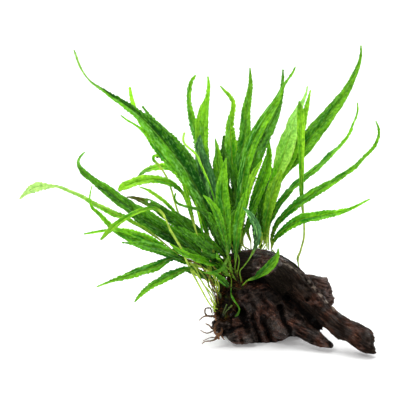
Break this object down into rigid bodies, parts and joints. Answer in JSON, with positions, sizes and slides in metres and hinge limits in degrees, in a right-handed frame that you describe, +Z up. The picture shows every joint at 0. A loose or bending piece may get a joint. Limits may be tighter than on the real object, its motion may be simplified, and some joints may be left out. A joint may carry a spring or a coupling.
{
  "type": "java fern on driftwood",
  "caption": "Narrow-leaved java fern with long crinkled fronds fanning out from creeping rhizomes grown on a dark branching piece of wet driftwood.",
  "frame": {"origin": "middle of the flat patch under the trunk, where the wood rests", "axes": "+X to the right, towards the tip of the wood's long arm; +Y away from the front; +Z up"},
  "size_m": [0.277, 0.1596, 0.2334],
  "materials": {
    "driftwood": "wet, dark brown to black, grooved along the grain",
    "rhizome": "matt green-brown, hairy with fine roots",
    "frond_dark": "wet, glossy dark green, veined and bumpy",
    "frond_mid": "wet, glossy mid green, veined and bumpy",
    "frond_light": "satin yellow-green, thin and translucent",
    "frond_pale": "satin pale green, thin and translucent"
  },
  "bodies": {
    "root": {"driftwood_trunk": "driftwood", "driftwood_long_arm": "driftwood", "driftwood_short_prong": "driftwood", "driftwood_back_stub": "driftwood", "driftwood_left_snag": "driftwood", "left_rhizome": "rhizome", "front_rhizome": "rhizome", "back_rhizome": "rhizome", "frond_lowest": "frond_light", "frond_bent_over": "frond_light", "frond_lowest_but_one": "frond_mid", "frond_broad_low_left": "frond_dark", "frond_far_left_trailing": "frond_pale", "frond_curled_tail": "frond_mid", "frond_ruffled_low_left": "frond_mid", "frond_fiddlehead": "frond_dark", "frond_light_arching": "frond_light", "frond_light_slim": "frond_light", "frond_upper_arching": "frond_light", "frond_big_dark_left": "frond_dark", "frond_holed_dark": "frond_dark", "frond_tip_behind_holed": "frond_dark", "frond_light_left": "frond_light", "frond_left_tail": "frond_mid", "frond_over_wood": "frond_light", "frond_bluish_bent": "frond_dark", "frond_small_front_right": "frond_light", "frond_bright_front": "frond_light", "frond_ridged_right": "frond_mid", "frond_small_front_left": "frond_light", "frond_tip_low_center": "frond_light", "frond_thin_bright": "frond_light", "frond_hanging_young": "frond_light", "frond_hooked": "frond_light", "frond_stringy_dark": "frond_dark", "frond_pale_short": "frond_light", "frond_mid_front_left": "frond_dark", "frond_tall_left": "frond_dark", "frond_flat_front_left": "frond_mid", "frond_wet_dark": "frond_dark", "frond_upright_straight": "frond_light", "frond_short_dark": "frond_dark", "frond_behind_tall": "frond_dark", "frond_upright_curl": "frond_light", "frond_small_upright": "frond_mid", "frond_dark_behind_nodding": "frond_dark", "frond_nodding": "frond_light", "frond_spear": "frond_mid", "frond_broad_right": "frond_dark", "frond_speckled_slim": "frond_light", "frond_slim_right": "frond_mid", "frond_dark_short_right": "frond_dark", "frond_light_broad_right": "frond_pale", "frond_bright_short_right": "frond_light", "frond_behind_folded": "frond_pale", "frond_tall_right": "frond_mid", "frond_bowed_right": "frond_mid", "frond_hooked_right": "frond_mid", "frond_level_right": "frond_mid", "frond_hanging_folded": "frond_light"}
  },
  "joints": []
}
